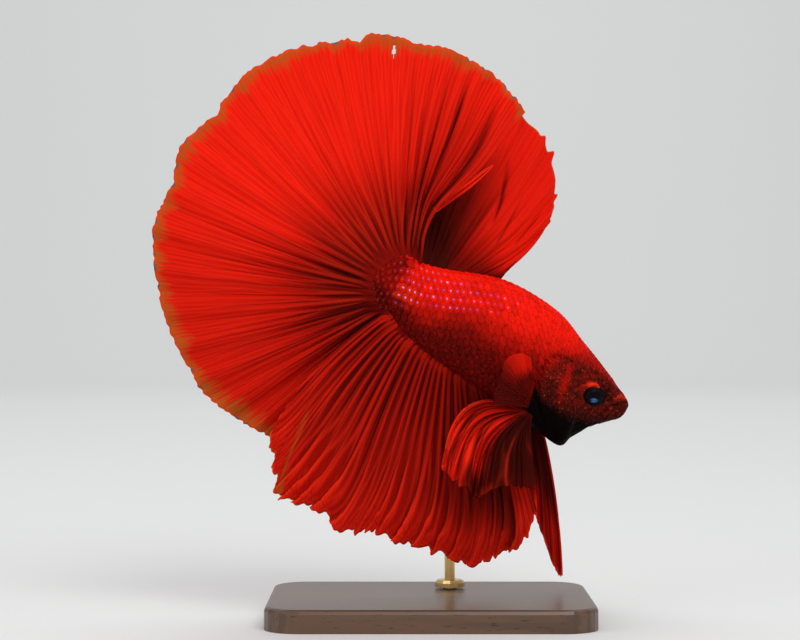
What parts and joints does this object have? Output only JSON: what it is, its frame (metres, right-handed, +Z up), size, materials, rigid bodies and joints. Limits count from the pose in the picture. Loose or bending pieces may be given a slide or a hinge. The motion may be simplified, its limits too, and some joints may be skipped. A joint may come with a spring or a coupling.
{
  "type": "betta fish model",
  "caption": "Still, life-size model of a male betta fish in a swimming pose with all its fins spread, held by a curved rod on a flat display base.",
  "frame": {"origin": "centre of the stand base's flat underside", "axes": "+Z up; +X towards the fish's head; the fish's right flank faces -Y"},
  "size_m": [0.0679, 0.034, 0.0821],
  "materials": {
    "scarlet_fin": "satin, thin and slightly see-through towards the edges",
    "scaled_skin": "satin scales, some with a pale iridescent spot",
    "dark_face": "satin, mottled, darkening to black at the throat",
    "eye": "wet gloss",
    "walnut": "satin varnish",
    "brass": "brushed"
  },
  "bodies": {
    "root": {"caudal_fin": "scarlet_fin", "dorsal_fin": "scarlet_fin", "anal_fin": "scarlet_fin", "pectoral_fin_right": "scarlet_fin", "pectoral_fin_left": "scarlet_fin", "ventral_fin_right": "scarlet_fin", "ventral_fin_left": "scarlet_fin", "trunk": "scaled_skin", "tail_stalk": "scaled_skin", "head": "dark_face", "lower_jaw": "dark_face", "gill_cover_right": "dark_face", "gill_cover_left": "dark_face", "eye_right": "eye", "eye_left": "eye", "stand_base": "walnut", "stand_rod": "brass"}
  },
  "joints": []
}
